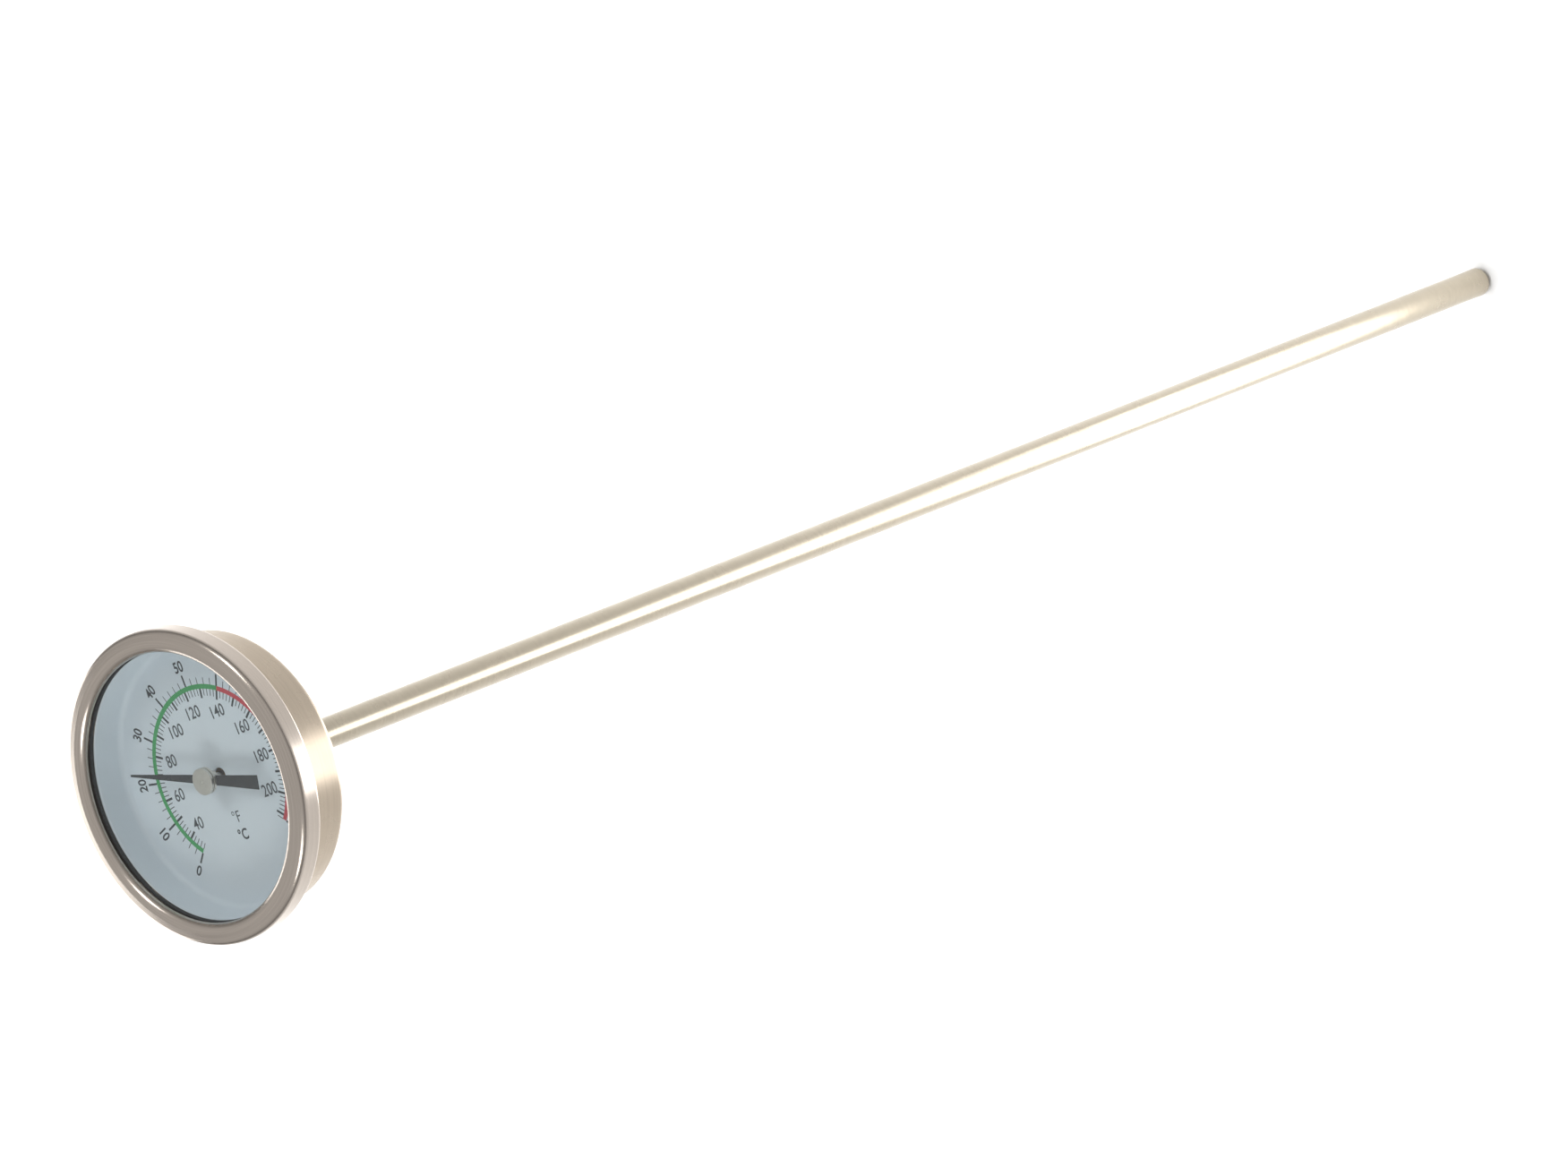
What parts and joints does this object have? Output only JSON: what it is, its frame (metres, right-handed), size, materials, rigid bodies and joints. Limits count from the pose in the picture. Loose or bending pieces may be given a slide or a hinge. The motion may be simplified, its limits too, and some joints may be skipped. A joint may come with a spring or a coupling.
{
  "type": "darkroom thermometer",
  "caption": "Dial thermometer: shallow round stainless head with a white dial and black pointer behind glass, on a long straight immersion stem with a rounded tip.",
  "frame": {"origin": "tip of the stem, on the stem's axis, which is the bottom centre of the whole thermometer", "axes": "+Z along the stem from its tip to the head, so the dial faces +Z; +Y towards twelve o'clock and +X towards three o'clock on the dial"},
  "size_m": [0.064, 0.064, 0.4162],
  "materials": {
    "stainless_polished": "polished stainless steel, warm tint, fine rolled texture",
    "stainless_satin": "satin stainless steel, drawn, with faint turning lines",
    "stainless_turned": "turned stainless steel",
    "stainless_stem": "satin ground stainless tube",
    "window_glass": "clear flat glass",
    "black_rubber": "black nitrile rubber",
    "white_enamel": "white enamel, satin, on pressed aluminium",
    "bearing_brass": "turned brass",
    "guide_plastic": "white low-friction plastic",
    "bimetal_strip": "rolled bimetal strip",
    "shaft_steel": "ground steel wire",
    "hub_plated": "turned and nickel plated",
    "pointer_black": "black matte paint on thin aluminium"
  },
  "bodies": {
    "housing": {"bezel_ring": "stainless_polished", "case_cup": "stainless_satin", "window_glass": "window_glass", "window_gasket": "black_rubber", "dial_pan": "white_enamel", "case_bush": "stainless_turned", "stem_collar": "stainless_turned", "stem_tube": "stainless_stem", "stem_tip_plug": "stainless_stem", "upper_bearing": "bearing_brass", "shaft_guide_1": "guide_plastic", "shaft_guide_2": "guide_plastic", "shaft_guide_3": "guide_plastic", "shaft_guide_4": "guide_plastic", "helix_anchor": "stainless_turned", "lower_bearing": "bearing_brass", "bimetal_helix": "bimetal_strip"},
    "pointer": {"pointer_shaft": "shaft_steel", "helix_clip": "stainless_turned", "pointer_hub": "hub_plated", "pointer_blade": "pointer_black", "pointer_bush": "hub_plated"}
  },
  "joints": [
    {"name": "pointer_spin", "type": "hinge", "parent": "housing", "child": "pointer", "pos_m": [0, 0, 0.4], "axis": [0, 0, 1], "range_deg": [-208.2, 61.8], "stiffness_Nm_per_rad": 0.00024, "deforming": ["bimetal_helix"]}
  ]
}
